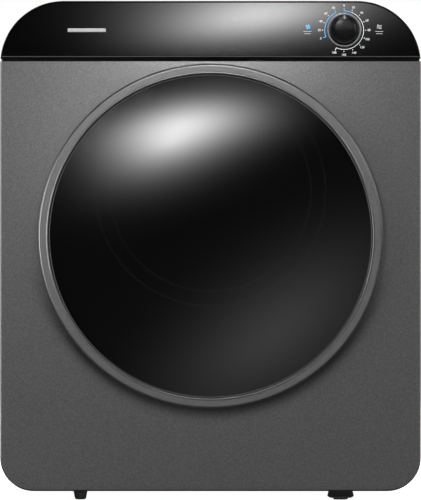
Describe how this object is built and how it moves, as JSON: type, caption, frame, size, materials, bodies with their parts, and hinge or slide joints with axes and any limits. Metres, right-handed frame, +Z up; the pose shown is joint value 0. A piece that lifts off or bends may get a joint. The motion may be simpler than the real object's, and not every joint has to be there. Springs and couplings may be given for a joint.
{
  "type": "clothes dryer",
  "caption": "Compact front-loading vented clothes dryer with a domed black round door, grey front and black control panel with a timer dial.",
  "frame": {"origin": "centre of the bounding box's bottom face, on the floor", "axes": "+Z up, front of the dryer towards -Y, +X to the right of somebody facing the front"},
  "size_m": [0.495, 0.4149, 0.589],
  "materials": {
    "panel_paint": "satin metallic",
    "shell_paint": "satin metallic",
    "galvanised": "spangled",
    "black_gloss": "high gloss",
    "door_glass": "polished dark",
    "ring_metal": "satin",
    "bright_trim": "satin",
    "dark_plastic": "fine texture",
    "grey_plastic": "fine texture",
    "bowl_plastic": "polished",
    "rubber": "matt",
    "felt": "felted",
    "mesh": "woven mesh",
    "stainless": "brushed",
    "plated_steel": "zinc plated",
    "bronze": "sintered",
    "motor_steel": "lamination",
    "cast_alloy": "cast",
    "white_mark": "printed",
    "mica": "mica board"
  },
  "bodies": {
    "cabinet": {"front_panel": "panel_paint", "control_panel": "black_gloss", "cabinet_shell": "shell_paint", "base_pan": "galvanised", "back_panel": "galvanised", "rear_duct_cover": "galvanised", "exhaust_spigot": "grey_plastic", "cord_gland": "dark_plastic", "rear_screws": "plated_steel", "fixed_feet": "rubber", "dial_bezel": "bright_trim", "timer_body": "grey_plastic", "badge": "bright_trim", "front_bulkhead": "galvanised", "loading_throat": "grey_plastic", "front_felt": "felt", "rear_felt": "felt", "front_duct": "grey_plastic", "rear_bulkhead": "galvanised", "drum_bearing": "bronze", "heater_frame": "mica", "heater_core": "cast_alloy", "thermostats": "dark_plastic", "blower_housing": "grey_plastic", "exhaust_duct": "grey_plastic", "motor_stator": "motor_steel", "motor_end_bells": "cast_alloy", "motor_bracket": "galvanised", "drive_belt": "rubber", "idler_spring": "stainless", "capacitor": "cast_alloy", "hinge_bracket": "plated_steel", "hinge_pin": "stainless", "catch_magnet": "dark_plastic", "door_switch": "grey_plastic"},
    "door": {"door_glass": "door_glass", "door_ring": "ring_metal", "door_frame": "dark_plastic", "door_bowl": "bowl_plastic", "door_seal": "rubber", "hinge_arm": "plated_steel", "catch_plate": "plated_steel"},
    "drum": {"drum_shell": "stainless", "drum_front_ring": "stainless", "drum_back": "stainless", "drum_lifters": "grey_plastic", "drum_shaft": "plated_steel"},
    "rotor": {"motor_rotor": "motor_steel", "motor_shaft": "stainless", "motor_pulley": "cast_alloy", "blower_impeller": "dark_plastic"},
    "idler_lever": {"idler_arm": "plated_steel"},
    "idler_wheel": {"idler_pulley": "dark_plastic"},
    "lint_filter": {"lint_filter_frame": "grey_plastic", "lint_filter_mesh": "mesh"},
    "timer_dial": {"timer_knob": "black_gloss", "knob_pointer": "white_mark", "timer_shaft": "plated_steel"},
    "switch_button": {"switch_plunger": "white_mark"},
    "screw_foot": {"levelling_foot": "dark_plastic"}
  },
  "joints": [
    {"name": "door_hinge", "type": "hinge", "parent": "cabinet", "child": "door", "pos_m": [-0.194, -0.18, 0.312], "axis": [0, 0, -1], "range_deg": [0, 110]},
    {"name": "drum_spin", "type": "hinge", "parent": "cabinet", "child": "drum", "pos_m": [0, 0, 0.312], "axis": [0, 1, 0], "continuous": true},
    {"name": "rotor_spin", "type": "hinge", "parent": "cabinet", "child": "rotor", "pos_m": [0.15, 0, 0.075], "axis": [0, 1, 0], "continuous": true},
    {"name": "idler_swing", "type": "hinge", "parent": "cabinet", "child": "idler_lever", "pos_m": [0.118, 0.0435, 0.108], "axis": [0, 1, 0], "range_deg": [0, 12], "stiffness_Nm_per_rad": 0.5},
    {"name": "idler_spin", "type": "hinge", "parent": "idler_lever", "child": "idler_wheel", "pos_m": [0.092, 0.06, 0.084], "axis": [0, 1, 0], "continuous": true},
    {"name": "filter_slide", "type": "slide", "parent": "cabinet", "child": "lint_filter", "axis": [0, 0, 1], "range_m": [0, 0.09]},
    {"name": "timer_turn", "type": "hinge", "parent": "cabinet", "child": "timer_dial", "pos_m": [0.1572, -0.16875, 0.5542], "axis": [0, 0.9952, -0.0976], "range_deg": [0, 335]},
    {"name": "switch_press", "type": "slide", "parent": "cabinet", "child": "switch_button", "axis": [0, 1, 0], "range_m": [0, 0.003], "stiffness_N_per_m": 150},
    {"name": "foot_turn", "type": "hinge", "parent": "cabinet", "child": "screw_foot", "pos_m": [0.1543, -0.125, 0], "axis": [0, 0, 1], "range_deg": [0, 1080]}
  ],
  "couplings": [
    {"joint": "rotor_spin", "follows": "drum_spin", "ratio": 17.016},
    {"joint": "idler_spin", "follows": "drum_spin", "ratio": 13.733}
  ]
}
